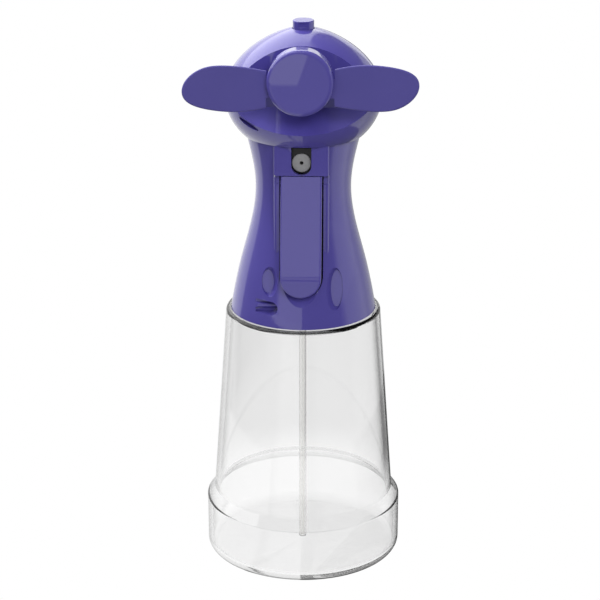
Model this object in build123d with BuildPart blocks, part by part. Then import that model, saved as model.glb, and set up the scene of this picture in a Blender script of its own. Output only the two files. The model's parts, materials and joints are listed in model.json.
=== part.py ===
"""Hand-held misting fan: a purple pump handle with a two-blade fan, on a clear water bottle.

Millimetres. The foot stands on z = 0, +Z is up, and the fan and the nozzle face -Y.
"""
from build123d import *
import os
from math import asin, cos, degrees, hypot, radians, sin, sqrt, tan

os.makedirs("parts", exist_ok=True)

# ---------------------------------------------------------------- driving dimensions
# Bottle
FOOT_R = 45.0
FOOT_EDGE = 4.0
FOOT_H = 25.6
STEP_H = 4.9
STEP_EDGE = 0.8
WALL_R_LOW = 41.5
WALL_R_TOP = 35.2
BOTTLE_H = 119.0
RIM_EDGE = 1.6
BOTTLE_WALL = 2.2
BOTTLE_FLOOR = 2.4
MOUTH_R = 20.6
MOUTH_WALL = 2.0
MOUTH_H = 6.2
THREAD_RISE = 1.0
THREAD_W = 1.2

# Fits and clearances
SEAT_GAP = 0.3
FIT = 0.1
RUNNING = 0.05
SHELL_WALL = 2.2

# Neck shells, as radii at heights above the bottle
SKIRT_R = 33.0
NECK_TOP_R = 25.6
WAIST_AT = 59.2

# Two AA cells side by side in the back of the neck
CELL_R = 7.25
CELL_L = 49.2
CELL_NUB_R = 2.75
CELL_NUB_L = 1.2
CELL_X = 7.4
CELL_Y = 9.0
CELL_ROOM = 0.35
CELLS_AT = 18.9
CELLS_HEADROOM = 14.1

# Trigger, its raised frame and the nozzle panel above it
TRIGGER_W = 18.2
TRIGGER_GAP = 0.6
TRIGGER_FALL = 1.0
TRIGGER_LOW = 15.0
TRIGGER_TOP_GAP = 0.4
TRIGGER_REACH = 34.0
TRIGGER_SKIN = 3.0
TRIGGER_EDGE = 0.8
TRIGGER_BEND = 24.0
DISH_W = 4.0
DISH_DEEP = 3.0
FRAME_SIDE = 2.5
FRAME_LOW = 23.0
FRAME_EDGE = 1.5
PANEL_Y = 24.5
PANEL_DROP = 13.5
PANEL_STEP = 1.3
PEG_R = 0.7
PIN_DROP = 3.5
PIN_Y = 20.8
PIN_R = 1.25
BARREL_R = 3.0

# Pump behind the trigger
PUMP_AT = 30.7
BORE_R = 5.35
PUMP_WALL = 1.55
PUMP_FRONT = 17.5
PUMP_BACK = 2.5
PUMP_CAP = 1.5
PISTON_L = 4.0
ROD_R = 2.2
NOSE_R = 2.5
STEM_R = 3.2
STEM_Y = 5.6
BALL_R = 1.3
PORT_R = 1.0
TUBE_R = 1.65
TUBE_BORE_R = 1.0
TUBE_FOOT_GAP = 3.2
HOSE_BEND = 5.0

# Nozzle
NOZZLE_RISE = 5.0
WINDOW_W = 8.8
DISC_R = 4.2
DISC_T = 1.2
DISC_HOLE_R = 0.85
DISC_Y = 21.5

# Head
HEAD_R = 35.0
HEAD_RISE = 30.2
HEAD_DROP = 27.4
HEAD_OVER = 17.4
HEAD_FULL = (1.95, 1.5)
FACE_OVER = 15.7
FACE_Y = 17.9
FACE_LEAN = 4.0
FLOOR_DROP = 32.0

# Fan
HUB_R = 14.3
HUB_L = 10.0
HUB_EDGE = 1.9
HUB_Y = 41.0
HUB_OVER = 31.9
HUB_WALL = 1.6
BLADE_T = 1.8
BLADE_DROP = 2.85
BLADE_PITCH = 8.0
BLADE_BACK = 5.0
TAB_W = 8.0
SHAFT_R = 1.0
MOTOR_R = 10.0
MOTOR_FLAT = 7.55
MOTOR_L = 25.0
MOTOR_CAP = 2.0
MOTOR_WALL = 1.0
MOTOR_NOSE_R = 3.0

# Button and switch
BUTTON_R = 4.7
BUTTON_PROUD = 2.8
BUTTON_TRAVEL = 1.5

# Wells, the side notch and the strap slot
WELL_X = {-1: 14.0, 1: 14.9}
WELL_FLOOR_OUT = 0.85
WELL_FLOOR_W = 2.6
WELL_DRAFT = 0.33
WELL_TOP_AT = 26.6
WELL_LOW_AT = {-1: 13.2, 1: 7.4}
WELL_DEEP = 2.6
WELL_RIM = 3.0
NOTCH_R = 2.9
NOTCH_AT = 8.4
NOTCH_FLOOR = 23.2
NOTCH_X = (20.4, 10.3)
NOTCH_BAR_R = 1.25
POCKET_WALL = 1.0
VENT_R = 1.0
STRAP_SLOT_L = 11.4
STRAP_SLOT_W = 2.5

# Leads
LEAD_R = 0.6

# Screws
SCREW_R = 1.1
SCREW_HEAD_R = 2.3
SCREW_HEAD_H = 1.6
BOSS_R = 2.7

# ---------------------------------------------------------------- worked out from them
BASE = BOTTLE_H + SEAT_GAP                     # underside of the handle's skirt
WAIST_R = hypot(CELL_X, CELL_Y) + CELL_R + CELL_ROOM + SHELL_WALL
SLOT_X = TRIGGER_W / 2 + TRIGGER_GAP           # half the trigger's opening
FRAME_X = SLOT_X + FRAME_SIDE                  # half the raised frame
NECK_H = CELLS_AT + CELL_L + CELLS_HEADROOM
NECK_TOP = BASE + NECK_H
HEAD_Z = NECK_TOP + HEAD_OVER
FACE_Z = NECK_TOP + FACE_OVER
RIM_Z = NECK_TOP
DOME_TOP = HEAD_Z + HEAD_RISE
PANEL_Z = NECK_TOP - PANEL_DROP
NOZZLE_Z = PANEL_Z + NOZZLE_RISE
PIN_Z = PANEL_Z - PIN_DROP
PUMP_Z = BASE + PUMP_AT
BIG = 200.0

lean = radians(FACE_LEAN)
fan_plane = Plane(
    origin=(0, -HUB_Y, NECK_TOP + HUB_OVER),
    x_dir=(1, 0, 0),
    z_dir=(0, -cos(lean), sin(lean)),
)


def neck_radius(height):
    """Outer radius of the neck at a height above its skirt, by straight runs."""
    for (r_low, low), (r_high, high) in zip(NECK_PROFILE, NECK_PROFILE[1:]):
        if height <= high:
            return r_low + (r_high - r_low) * (height - low) / (high - low)
    return NECK_PROFILE[-1][0]


FLARE = SKIRT_R - WAIST_R
NECK_PROFILE = [
    (SKIRT_R, 0.0),
    (WAIST_R + 0.82 * FLARE, 0.19 * WAIST_AT),
    (WAIST_R + 0.60 * FLARE, 0.38 * WAIST_AT),
    (WAIST_R + 0.31 * FLARE, 0.59 * WAIST_AT),
    (WAIST_R + 0.08 * FLARE, 0.79 * WAIST_AT),
    (WAIST_R, WAIST_AT),
    (WAIST_R + 0.35 * (NECK_TOP_R - WAIST_R), (WAIST_AT + NECK_H) / 2),
    (NECK_TOP_R, NECK_H),
]


def neck_solid(inset):
    """The neck's body of revolution, drawn in all round by an inset."""
    with BuildPart() as body:
        with BuildSketch(Plane.XZ):
            with BuildLine():
                side = Spline(*[(r - inset, BASE + h) for r, h in NECK_PROFILE])
                Polyline(side @ 1, (0, NECK_TOP), (0, BASE), side @ 0)
            make_face()
        revolve(axis=Axis.Z)
    return body.part


def head_radius(height, inset):
    """Radius of the dome at a height, drawn in by an inset."""
    if height < HEAD_Z:
        return (HEAD_R - inset) * sqrt(1 - ((HEAD_Z - height) / (HEAD_DROP - inset)) ** 2)
    along, across = HEAD_FULL
    rise = min((height - HEAD_Z) / (HEAD_RISE - inset), 1.0)
    return (HEAD_R - inset) * (1 - rise**along) ** (1 / across)


def head_solid(inset, low):
    """The dome, cut off level at a height and drawn in by an inset."""
    rise = HEAD_RISE - inset
    levels = [low + (HEAD_Z - low) * k / 3 for k in range(3)]
    levels += [HEAD_Z + rise * k for k in (0.0, 0.22, 0.42, 0.6, 0.75, 0.87, 0.95, 1.0)]
    with BuildPart() as body:
        with BuildSketch(Plane.XZ):
            with BuildLine():
                side = Spline(*[(head_radius(z, inset), z) for z in levels])
                Polyline(side @ 1, (0, low), side @ 0)
            make_face()
        revolve(axis=Axis.Z)
    return body.part


def face_notch(inset):
    """What is cut away in front of the face and over the chin, moved back by an inset."""
    corner_y = -FACE_Y + inset
    corner_z = FACE_Z - inset
    reach = 50.0
    with BuildPart() as notch:
        with BuildSketch(Plane.YZ):
            with BuildLine():
                Polyline(
                    (corner_y, corner_z),
                    (corner_y + reach * tan(lean), corner_z + reach),
                    (corner_y - reach, corner_z + reach),
                    (corner_y - reach, corner_z - reach * tan(radians(FLOOR_DROP))),
                    close=True,
                )
            make_face()
        extrude(amount=BIG / 2, both=True)
    return notch.part


def frame_box(side, front):
    """The raised frame round the trigger, with a nozzle panel at its top."""
    with BuildPart() as box:
        with BuildSketch(Plane.YZ):
            with BuildLine():
                Polyline(
                    (0, NECK_TOP),
                    (-front, NECK_TOP),
                    (-front, PANEL_Z),
                    (-front + PANEL_STEP, PANEL_Z - PANEL_STEP),
                    (-front + PANEL_STEP, BASE + FRAME_LOW),
                    (0, BASE + FRAME_LOW),
                    close=True,
                )
            make_face()
        extrude(amount=side, both=True)
    return box


def trigger_column(grow, lower=0.0):
    """A bar with the trigger's front outline: square at the top, full round at the bottom."""
    half = TRIGGER_W / 2 + grow
    round_z = BASE + TRIGGER_LOW - grow - lower + half
    with BuildPart() as column:
        with BuildSketch(Plane.XZ):
            with Locations((0, round_z)):
                Circle(half)
            with Locations((0, (round_z + PANEL_Z) / 2)):
                Rectangle(2 * half, PANEL_Z - round_z)
        extrude(amount=BIG / 4)
    return column.part


def well_pocket(side, grow):
    """The leaf-shaped pocket beside the trigger, widening towards the front."""
    out = WELL_X[side]
    middle = (WELL_TOP_AT + WELL_LOW_AT[side]) / 2
    slope = (neck_radius(WELL_LOW_AT[side]) - neck_radius(WELL_TOP_AT)) \
        / (WELL_TOP_AT - WELL_LOW_AT[side])
    place = Plane(
        origin=(side * out, -sqrt(neck_radius(middle) ** 2 - out**2), BASE + middle),
        x_dir=(1, 0, 0),
        z_dir=(0, -1, slope),
    )
    half_l = (WELL_TOP_AT - WELL_LOW_AT[side]) / 2 * hypot(1, slope)
    floor_l = half_l - 2 * WELL_DEEP * WELL_DRAFT
    spread = (WELL_DEEP + WELL_RIM) * WELL_DRAFT
    with BuildPart() as pocket:
        with BuildSketch(place.offset(-WELL_DEEP - grow)):
            with Locations((side * WELL_FLOOR_OUT, 0)):
                Ellipse(WELL_FLOOR_W + grow, floor_l + grow)
        with BuildSketch(place.offset(WELL_RIM)):
            with Locations((side * (WELL_FLOOR_OUT - spread / 3), 0)):
                Ellipse(WELL_FLOOR_W + spread + grow, floor_l + 2 * spread + grow)
        loft()
    return pocket.part


def notch_pocket(grow):
    """The side notch low on the skirt: round at its inner end and open at its outer one."""
    outer, inner = NOTCH_X
    high = NOTCH_R + grow
    with BuildPart() as pocket:
        with BuildSketch(Plane.XZ.offset(NOTCH_FLOOR - grow)):
            with Locations((-inner - NOTCH_R, BASE + NOTCH_AT)):
                Circle(high)
            with Locations((-(outer + grow + inner + NOTCH_R) / 2, BASE + NOTCH_AT)):
                Rectangle(outer + grow - inner - NOTCH_R, 2 * high)
        extrude(amount=12)
    return pocket.part


# ---------------------------------------------------------------- bottle
wall_low_z = FOOT_H + STEP_H
with BuildPart() as reservoir_bottle:
    with BuildSketch(Plane.XZ):
        with BuildLine():
            Polyline(
                (0, 0),
                (FOOT_R, 0),
                (FOOT_R, FOOT_H),
                (WALL_R_LOW, wall_low_z),
                (WALL_R_TOP, BOTTLE_H),
                (MOUTH_R + MOUTH_WALL, BOTTLE_H),
                (MOUTH_R + MOUTH_WALL, BOTTLE_H + MOUTH_H),
                (MOUTH_R, BOTTLE_H + MOUTH_H),
                (MOUTH_R, BOTTLE_H - BOTTLE_WALL),
                (WALL_R_TOP - BOTTLE_WALL, BOTTLE_H - BOTTLE_WALL),
                (WALL_R_LOW - BOTTLE_WALL, wall_low_z - BOTTLE_WALL / 2),
                (FOOT_R - BOTTLE_WALL, FOOT_H - BOTTLE_WALL / 2),
                (FOOT_R - BOTTLE_WALL, BOTTLE_FLOOR),
                (0, BOTTLE_FLOOR),
                close=True,
            )
        make_face()
    revolve(axis=Axis.Z)
    rings = reservoir_bottle.edges().filter_by(GeomType.CIRCLE)
    fillet([e for e in rings if abs(e.radius - FOOT_R) < 0.01 and e.center().Z < 1], radius=FOOT_EDGE)
    rings = reservoir_bottle.edges().filter_by(GeomType.CIRCLE)
    fillet([e for e in rings if abs(e.radius - FOOT_R) < 0.01 and e.center().Z > FOOT_H - 1],
           radius=STEP_EDGE)
    rings = reservoir_bottle.edges().filter_by(GeomType.CIRCLE)
    fillet([e for e in rings if abs(e.radius - WALL_R_TOP) < 0.01], radius=RIM_EDGE)
    rings = reservoir_bottle.edges().filter_by(GeomType.CIRCLE)
    fillet([e for e in rings if abs(e.radius - FOOT_R + BOTTLE_WALL) < 0.01
            and e.center().Z < BOTTLE_FLOOR + 1], radius=FOOT_EDGE - BOTTLE_WALL / 2)
    # the thread on the mouth, as two rings
    for turn in (0.32, 0.72):
        with BuildSketch(Plane.XY.offset(BOTTLE_H + turn * MOUTH_H - THREAD_W / 2)):
            Circle(MOUTH_R + MOUTH_WALL + THREAD_RISE)
            Circle(MOUTH_R, mode=Mode.SUBTRACT)
        extrude(amount=THREAD_W)

# ---------------------------------------------------------------- collar and gasket
thread_bore_r = MOUTH_R + MOUTH_WALL + THREAD_RISE + 0.4
gasket_t = 0.8
collar_low = BASE + 0.2
gasket_z = BOTTLE_H + MOUTH_H + SEAT_GAP
deck_z = gasket_z + gasket_t
deck_t = 2.0
collar_r = neck_radius(deck_z + deck_t - BASE) - SHELL_WALL - 0.5
collar_post_r = (collar_r + thread_bore_r) / 2
with BuildPart() as bottle_collar:
    with BuildSketch(Plane.XY.offset(collar_low)):
        Circle(collar_r)
        with PolarLocations(collar_post_r, 4, start_angle=45):
            Circle(SCREW_R + RUNNING, mode=Mode.SUBTRACT)
    extrude(amount=deck_z + deck_t - collar_low)
    with BuildSketch(Plane.XY.offset(collar_low)):
        Circle(thread_bore_r)
        with PolarLocations(collar_post_r, 4, start_angle=45):
            Circle(SCREW_HEAD_R + FIT)
    extrude(amount=SCREW_HEAD_H + 0.2, mode=Mode.SUBTRACT)
    with BuildSketch(Plane.XY.offset(collar_low)):
        Circle(thread_bore_r)
    extrude(amount=deck_z - collar_low, mode=Mode.SUBTRACT)
    # holes for the pump's stem and the air vent, and room for the shell's pockets
    with BuildSketch(Plane.XY.offset(deck_z)):
        with Locations((0, -STEM_Y)):
            Circle(STEM_R + FIT)
        with Locations((0, STEM_Y)):
            Circle(VENT_R)
    extrude(amount=deck_t, mode=Mode.SUBTRACT)
    add(notch_pocket(POCKET_WALL + 0.3), mode=Mode.SUBTRACT)
    for side in (-1, 1):
        add(well_pocket(side, POCKET_WALL + 0.3), mode=Mode.SUBTRACT)

with BuildPart() as bottle_gasket:
    with BuildSketch(Plane.XY.offset(gasket_z)):
        Circle(thread_bore_r - FIT)
        Circle(MOUTH_R, mode=Mode.SUBTRACT)
    extrude(amount=gasket_t)

# ---------------------------------------------------------------- neck shells
screw_low_at = 13.4
screw_high_at = NECK_H - 7.0
screw_low_x = neck_radius(screw_low_at) - SHELL_WALL - BOSS_R - 4.2
screw_high_x = neck_radius(screw_high_at) - SHELL_WALL - BOSS_R - 2.6
screw_spots = [
    (side * x, BASE + at)
    for side in (-1, 1)
    for x, at in ((screw_low_x, screw_low_at), (screw_high_x, screw_high_at))
]
collar_post_h = 8.0
neck_outer = neck_solid(0)
frame_outer = frame_box(FRAME_X, PANEL_Y)
with frame_outer:
    sides = frame_outer.faces().filter_by(Axis.X)
    front_edges = [e for e in sides.edges() if e.center().Y < -PUMP_FRONT - 1 and e.center().Z < NECK_TOP]
    fillet(front_edges, radius=FRAME_EDGE)

with BuildPart() as neck_cavity:
    add(neck_solid(SHELL_WALL))
    add(frame_box(SLOT_X - FIT, PANEL_Y - SHELL_WALL).part)
    # open at both ends
    with BuildSketch(Plane.XY.offset(BASE)):
        Circle(SKIRT_R - SHELL_WALL)
    extrude(amount=-1)
    with BuildSketch(Plane.XY.offset(NECK_TOP)):
        Circle(NECK_TOP_R - SHELL_WALL)
        with Locations((0, -(PANEL_Y - SHELL_WALL) / 2)):
            Rectangle(2 * (SLOT_X - FIT), PANEL_Y - SHELL_WALL)
    extrude(amount=1)
    # screw bosses front to back, posts over the collar, and the lining of the pockets
    with BuildSketch(Plane.XZ):
        with Locations(*screw_spots):
            Circle(BOSS_R)
    extrude(amount=BIG / 4, both=True, mode=Mode.SUBTRACT)
    with BuildSketch(Plane.XY.offset(deck_z + deck_t + FIT)):
        with PolarLocations(collar_post_r - BOSS_R + SKIRT_R / 2, 4, start_angle=45):
            Rectangle(SKIRT_R, 2 * BOSS_R)
    extrude(amount=collar_post_h, mode=Mode.SUBTRACT)
    for side in (-1, 1):
        add(well_pocket(side, POCKET_WALL), mode=Mode.SUBTRACT)
    add(notch_pocket(POCKET_WALL), mode=Mode.SUBTRACT)

dish_z = BASE + TRIGGER_LOW - TRIGGER_FALL + TRIGGER_W / 2
dish_y = neck_radius(TRIGGER_LOW) - DISH_DEEP / 2
with BuildPart() as notch_room:
    add(notch_pocket(0))
    with BuildSketch(Plane.YZ.offset(-NOTCH_X[0] - 1)):
        with Locations((-NOTCH_FLOOR - 0.3, BASE + NOTCH_AT)):
            Circle(NOTCH_BAR_R)
    extrude(amount=NOTCH_X[0] - NOTCH_X[1] + 2, mode=Mode.SUBTRACT)

with BuildPart() as neck_shell:
    add(neck_outer)
    add(frame_outer.part)
    add(neck_cavity.part, mode=Mode.SUBTRACT)
    # the trigger's opening
    add(trigger_column(TRIGGER_GAP, TRIGGER_FALL), mode=Mode.SUBTRACT)
    # a shallow dish round the trigger's lower end
    with BuildSketch(Plane.XZ.offset(dish_y)):
        with Locations((0, dish_z)):
            Circle(SLOT_X)
    with BuildSketch(Plane.XZ.offset(dish_y + DISH_DEEP)):
        with Locations((0, dish_z - DISH_W)):
            Circle(SLOT_X)
    loft(mode=Mode.SUBTRACT)
    # the nozzle window, open to the head
    with BuildSketch(Plane.XZ.offset(PANEL_Y - SHELL_WALL - 2)):
        with Locations((0, PANEL_Z + WINDOW_W / 2 + 0.2)):
            Circle(WINDOW_W / 2)
            with Locations((0, NECK_H / 2)):
                Rectangle(WINDOW_W, NECK_H)
    extrude(amount=10, mode=Mode.SUBTRACT)
    # small steps beside the trigger's top
    for side in (-1, 1):
        with BuildSketch(Plane.XZ.offset(PIN_Y + PIN_R + 0.5)):
            with Locations((side * (SLOT_X + 0.8), PANEL_Z - 2.2)):
                Rectangle(2.0, 4.0)
        extrude(amount=10, mode=Mode.SUBTRACT)
    # the two wells, and the side notch with a bar across it
    for side in (-1, 1):
        add(well_pocket(side, 0), mode=Mode.SUBTRACT)
    add(notch_room.part, mode=Mode.SUBTRACT)
    # pilot holes for the collar's screws and bores for the pivot pin
    with BuildSketch(Plane.XY.offset(deck_z + deck_t)):
        with PolarLocations(collar_post_r, 4, start_angle=45):
            Circle(SCREW_R + RUNNING)
    extrude(amount=collar_post_h - 1.0, mode=Mode.SUBTRACT)
    with BuildSketch(Plane.YZ):
        with Locations((-PIN_Y, PIN_Z)):
            Circle(PIN_R + RUNNING)
    extrude(amount=FRAME_X + 1, both=True, mode=Mode.SUBTRACT)

# the bezel round the nozzle window, a plate pegged to the front of the frame
bezel_back = PANEL_Y - SHELL_WALL
peg_spots = [(side * (SLOT_X + FRAME_SIDE / 2), (PANEL_Z + NECK_TOP) / 2) for side in (-1, 1)]
peg_l = 3.0
with BuildPart() as bezel_room:
    with BuildSketch(Plane.XZ.offset(bezel_back)):
        with Locations((0, (PANEL_Z + NECK_TOP) / 2 + 1)):
            Rectangle(BIG / 2, NECK_TOP - PANEL_Z + 2)
    extrude(amount=BIG / 10)

with BuildPart() as nozzle_bezel:
    add(neck_shell.part)
    add(bezel_room.part, mode=Mode.INTERSECT)
    with BuildSketch(Plane.XZ.offset(bezel_back)):
        with Locations((0, (PANEL_Z + NECK_TOP) / 2)):
            Rectangle(2 * (FRAME_X - FIT), BIG / 2)
    extrude(amount=BIG / 10, mode=Mode.INTERSECT)
    with BuildSketch(Plane.XZ.offset(bezel_back)):
        with Locations(*peg_spots):
            Circle(PEG_R)
    extrude(amount=-peg_l)

shell_joint = 0.05
with BuildPart() as neck_front_shell:
    add(neck_shell.part)
    add(bezel_room.part, mode=Mode.SUBTRACT)
    with BuildSketch(Plane.XZ.offset(bezel_back)):
        with Locations(*peg_spots):
            Circle(PEG_R + RUNNING)
    extrude(amount=-peg_l - 0.2, mode=Mode.SUBTRACT)
    with BuildSketch(Plane.XY.offset(BASE - 1)):
        with Locations((0, BIG / 4 - shell_joint)):
            Rectangle(BIG, BIG / 2)
    extrude(amount=BIG, mode=Mode.SUBTRACT)
    with BuildSketch(Plane.XZ):
        with Locations(*screw_spots):
            Circle(SCREW_R + RUNNING)
    extrude(amount=7, mode=Mode.SUBTRACT)

# battery door: a panel of the rear shell that unclips and pulls straight off the back
door_x = CELL_X + CELL_R - 1.2
door_low = BASE + CELLS_AT + 1.8
door_high = door_low + CELL_L - 5.2
door_gap = 0.35
door_slope = 0.5
door_y = neck_radius(door_low - BASE)


def door_region(grow):
    """The wedge-topped block that the door is cut from, grown by a gap."""
    low = door_low - grow
    high = door_high + grow
    with BuildPart() as block:
        with BuildSketch(Plane.YZ):
            with BuildLine():
                Polyline(
                    (CELL_Y, low),
                    (BIG / 4, low),
                    (BIG / 4, high + door_slope * (BIG / 4 - door_y)),
                    (CELL_Y, high + door_slope * (CELL_Y - door_y)),
                    close=True,
                )
            make_face()
        extrude(amount=door_x + grow, both=True)
    return block.part


with BuildPart() as neck_rear_shell:
    add(neck_shell.part)
    with BuildSketch(Plane.XY.offset(BASE - 1)):
        with Locations((0, -BIG / 4 + shell_joint)):
            Rectangle(BIG, BIG / 2)
    extrude(amount=BIG, mode=Mode.SUBTRACT)
    add(door_region(door_gap), mode=Mode.SUBTRACT)
    with BuildSketch(Plane.XZ):
        with Locations(*screw_spots):
            Circle(SCREW_R + RUNNING)
    extrude(amount=-BIG / 4, mode=Mode.SUBTRACT)
    with BuildSketch(Plane.XZ.offset(-6)):
        with Locations(*screw_spots):
            Circle(SCREW_HEAD_R + FIT)
    extrude(amount=-BIG / 4, mode=Mode.SUBTRACT)

with BuildPart() as battery_door:
    add(neck_outer)
    add(neck_solid(SHELL_WALL), mode=Mode.SUBTRACT)
    add(door_region(0), mode=Mode.INTERSECT)
    # finger notch near the top edge
    with BuildSketch(Plane.XZ.offset(-neck_radius(WAIST_AT) - 1.5)):
        with Locations((0, door_high - 7)):
            RectangleRounded(12, 4, 1.9)
    extrude(amount=2.6, mode=Mode.SUBTRACT)

with BuildPart() as shell_screws:
    with BuildSketch(Plane.XZ.offset(6.5)):
        with Locations(*screw_spots):
            Circle(SCREW_R)
    extrude(amount=-12.6)
    with BuildSketch(Plane.XZ.offset(-6.05)):
        with Locations(*screw_spots):
            Circle(SCREW_HEAD_R)
    extrude(amount=-SCREW_HEAD_H)
    with BuildSketch(Plane.XZ.offset(-6.05 - SCREW_HEAD_H)):
        with Locations(*screw_spots):
            RegularPolygon(SCREW_R * 0.8, 6)
    extrude(amount=0.8, mode=Mode.SUBTRACT)

with BuildPart() as collar_screws:
    with BuildSketch(Plane.XY.offset(collar_low + 0.2)):
        with PolarLocations(collar_post_r, 4, start_angle=45):
            Circle(SCREW_HEAD_R)
    extrude(amount=SCREW_HEAD_H)
    with BuildSketch(Plane.XY.offset(collar_low + 0.2 + SCREW_HEAD_H)):
        with PolarLocations(collar_post_r, 4, start_angle=45):
            Circle(SCREW_R)
    extrude(amount=deck_z + deck_t - collar_low - SCREW_HEAD_H + collar_post_h - 2.0)

# ---------------------------------------------------------------- trigger and its pin
with BuildPart() as trigger:
    low = BASE + TRIGGER_LOW
    knee = low + TRIGGER_W / 2
    top_y = PANEL_Y - 0.2
    with BuildSketch(Plane.YZ):
        with BuildLine():
            Polyline(
                (-top_y, PANEL_Z - TRIGGER_TOP_GAP),
                (-TRIGGER_REACH, knee),
                (-TRIGGER_REACH + 0.4, low - 1),
                (-TRIGGER_REACH + 0.4 + TRIGGER_SKIN, low - 1),
                (-TRIGGER_REACH + TRIGGER_SKIN, knee),
                (-top_y + TRIGGER_SKIN, PANEL_Z - TRIGGER_TOP_GAP),
                close=True,
            )
        make_face()
    extrude(amount=TRIGGER_W / 2, both=True)
    bends = trigger.edges().filter_by(Axis.X).filter_by_position(Axis.Z, knee - 0.1, knee + 0.1)
    fillet(bends, radius=TRIGGER_BEND)
    add(trigger_column(0), mode=Mode.INTERSECT)
    fronts = [f for f in trigger.faces() if f.normal_at().Y < -0.9]
    outline = [e for f in fronts for e in f.edges() if not e.is_interior]
    fillet([e for e in outline if e.length > 3 and abs(e.center().X) > 1 or e.center().Z < low + 2],
           radius=TRIGGER_EDGE)
    with BuildSketch(Plane.YZ):
        with Locations((-PIN_Y, PIN_Z)):
            Circle(BARREL_R)
    extrude(amount=TRIGGER_W / 2, both=True)
    # side ribs and the pad that meets the piston rod
    for side in (-1, 1):
        with BuildSketch(Plane.YZ.offset(side * (TRIGGER_W / 2 - 0.9))):
            with BuildLine():
                Polyline(
                    (-top_y + 1, PIN_Z),
                    (-TRIGGER_REACH + 1, knee),
                    (-TRIGGER_REACH + TRIGGER_SKIN + 6, knee + 2),
                    (-PIN_Y + BARREL_R - 0.2, PIN_Z),
                    close=True,
                )
            make_face()
        extrude(amount=0.9, both=True)
    pad_back = PUMP_FRONT + PUMP_CAP + 8.3
    with BuildSketch(Plane.XY.offset(PUMP_Z - 4)):
        with Locations((0, -pad_back - 1.8)):
            Rectangle(5, 3.6)
    extrude(amount=8)
    with BuildSketch(Plane.YZ):
        with Locations((-PIN_Y, PIN_Z)):
            Circle(PIN_R + RUNNING)
    extrude(amount=TRIGGER_W, both=True, mode=Mode.SUBTRACT)

with BuildPart() as trigger_pin:
    with BuildSketch(Plane.YZ):
        with Locations((-PIN_Y, PIN_Z)):
            Circle(PIN_R)
    extrude(amount=FRAME_X - 0.3, both=True)

# ---------------------------------------------------------------- pump
barrel_r = BORE_R + PUMP_WALL
bore_back = PUMP_BACK + PUMP_WALL
stem_low = deck_z - 2.0
flange_z = deck_z + deck_t
inlet_seat = PUMP_Z - BORE_R - PUMP_WALL - 4.6
outlet_seat = PUMP_Z + barrel_r + 1.6
outlet_top = outlet_seat + 5.4
tube_top = inlet_seat - 2.4
with BuildPart() as pump_cylinder:
    with BuildSketch(Plane.XZ.offset(PUMP_BACK)):
        with Locations((0, PUMP_Z)):
            Circle(barrel_r)
    extrude(amount=PUMP_FRONT - PUMP_BACK)
    with BuildSketch(Plane.XY.offset(stem_low)):
        with Locations((0, -STEM_Y)):
            Circle(STEM_R)
    extrude(amount=outlet_top - stem_low)
    with BuildSketch(Plane.XY.offset(flange_z)):
        with Locations((0, -STEM_Y)):
            Circle(STEM_R + 2.8)
    extrude(amount=1.5)
    with BuildSketch(Plane.XZ.offset(bore_back)):
        with Locations((0, PUMP_Z)):
            Circle(BORE_R)
    extrude(amount=PUMP_FRONT, mode=Mode.SUBTRACT)
    # dip tube socket, inlet seat and chamber, outlet seat and hose socket
    for low, high, r in (
        (stem_low - 1, tube_top, TUBE_R + RUNNING),
        (tube_top - 1, inlet_seat, PORT_R),
        (inlet_seat, PUMP_Z, TUBE_R + RUNNING),
        (PUMP_Z, outlet_seat, PORT_R),
        (outlet_seat, outlet_top + 1, TUBE_R + RUNNING),
    ):
        with BuildSketch(Plane.XY.offset(low)):
            with Locations((0, -STEM_Y)):
                Circle(r)
        extrude(amount=high - low, mode=Mode.SUBTRACT)

with BuildPart() as pump_cap:
    with BuildSketch(Plane.XZ.offset(PUMP_FRONT)):
        with Locations((0, PUMP_Z)):
            Circle(barrel_r)
            Circle(NOSE_R + 0.4, mode=Mode.SUBTRACT)
    extrude(amount=PUMP_CAP)

piston_front = PUMP_FRONT - 0.5
piston_rear = piston_front - PISTON_L
nose_y = pad_back - SEAT_GAP - NOSE_R
seal_w = 1.4
with BuildPart() as piston:
    with BuildSketch(Plane.XZ.offset(piston_rear)):
        with Locations((0, PUMP_Z)):
            Circle(BORE_R - 0.35)
    extrude(amount=PISTON_L)
    with BuildSketch(Plane.XZ.offset(piston_rear + (PISTON_L - seal_w) / 2)):
        with Locations((0, PUMP_Z)):
            Circle(BORE_R)
            Circle(BORE_R - 1.4, mode=Mode.SUBTRACT)
    extrude(amount=seal_w, mode=Mode.SUBTRACT)
    with BuildSketch(Plane.XZ.offset(piston_front)):
        with Locations((0, PUMP_Z)):
            Circle(ROD_R)
    extrude(amount=nose_y - piston_front)
    with Locations((0, -nose_y, PUMP_Z)):
        Sphere(NOSE_R)

with BuildPart() as piston_seal:
    with BuildSketch(Plane.XZ.offset(piston_rear + (PISTON_L - seal_w) / 2 + 0.05)):
        with Locations((0, PUMP_Z)):
            Circle(BORE_R - RUNNING)
            Circle(BORE_R - 1.35, mode=Mode.SUBTRACT)
    extrude(amount=seal_w - 0.1)

spring_wire = 0.3
spring_r = 3.6
spring_start = bore_back + spring_wire + 0.05
spring_len = piston_rear - bore_back - 2 * spring_wire - 0.1
with BuildPart() as piston_spring:
    with BuildLine():
        coil = Helix(
            pitch=spring_len / 4,
            height=spring_len,
            radius=spring_r,
            center=(0, -spring_start, PUMP_Z),
            direction=(0, -1, 0),
        )
    with BuildSketch(Plane(origin=coil @ 0, z_dir=coil % 0)):
        Circle(spring_wire)
    sweep(path=coil, is_frenet=True)

ball_lift = sqrt(BALL_R**2 - PORT_R**2) + 0.02
with BuildPart() as valve_balls:
    with Locations((0, -STEM_Y, inlet_seat + ball_lift), (0, -STEM_Y, outlet_seat + ball_lift)):
        Sphere(BALL_R)

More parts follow.
